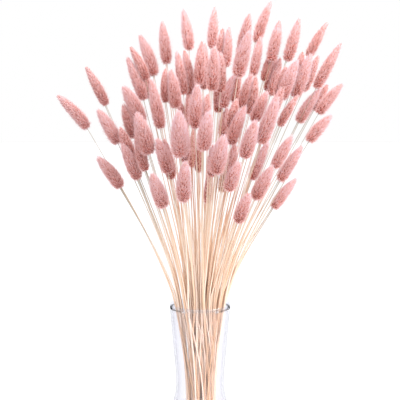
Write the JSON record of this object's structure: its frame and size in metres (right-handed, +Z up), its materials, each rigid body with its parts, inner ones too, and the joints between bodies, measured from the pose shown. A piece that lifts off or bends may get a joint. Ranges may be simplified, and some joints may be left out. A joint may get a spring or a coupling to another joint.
{
  "type": "dried bunny tail grass",
  "caption": "Fanned bunch of dried pink bunny tail grass, fluffy oval seed heads on thin straw stems, standing upright in a waisted clear glass vase.",
  "frame": {"origin": "middle of the vase's foot, on the surface that it stands on", "axes": "+Z up along the vase's axis, -Y towards the viewer in front, +X to the viewer's right"},
  "size_m": [0.2866, 0.1538, 0.4876],
  "materials": {
    "pink_down": "soft, matt, hairy",
    "dried_straw": "dry, matt to satin",
    "clear_glass": "clear, smooth, glossy"
  },
  "bodies": {
    "root": {"glass_vase": "clear_glass", "stems": "dried_straw", "head_01": "pink_down", "head_02": "pink_down", "head_03": "pink_down", "head_04": "pink_down", "heads_05_06": "pink_down", "heads_07_08": "pink_down", "heads_09_10": "pink_down", "heads_11_12": "pink_down", "heads_13_14": "pink_down", "head_15": "pink_down", "head_16": "pink_down", "heads_17_18": "pink_down", "head_19": "pink_down", "heads_20_21": "pink_down", "heads_22_23": "pink_down", "head_24": "pink_down", "heads_25_26": "pink_down", "heads_27_28": "pink_down", "heads_29_30": "pink_down", "head_31": "pink_down", "heads_32_33": "pink_down", "heads_34_35": "pink_down", "heads_36_37_38": "pink_down", "heads_39_40": "pink_down", "head_41": "pink_down", "heads_42_43": "pink_down", "head_44": "pink_down", "heads_45_46": "pink_down", "heads_47_48": "pink_down", "head_49": "pink_down", "head_50": "pink_down", "head_51": "pink_down", "heads_52_53": "pink_down", "head_54": "pink_down", "head_55": "pink_down", "heads_56_57": "pink_down", "head_58": "pink_down", "head_59": "pink_down", "heads_60_61": "pink_down", "heads_62_63": "pink_down", "heads_64_65": "pink_down", "head_66": "pink_down", "heads_67_68": "pink_down", "head_69": "pink_down", "heads_70_71_72": "pink_down", "head_73": "pink_down", "heads_74_75": "pink_down", "head_76": "pink_down", "head_77": "pink_down", "head_78": "pink_down", "heads_79_80": "pink_down", "head_81": "pink_down", "head_82": "pink_down", "head_83": "pink_down", "head_84": "pink_down", "head_85": "pink_down", "head_86": "pink_down"}
  },
  "joints": []
}
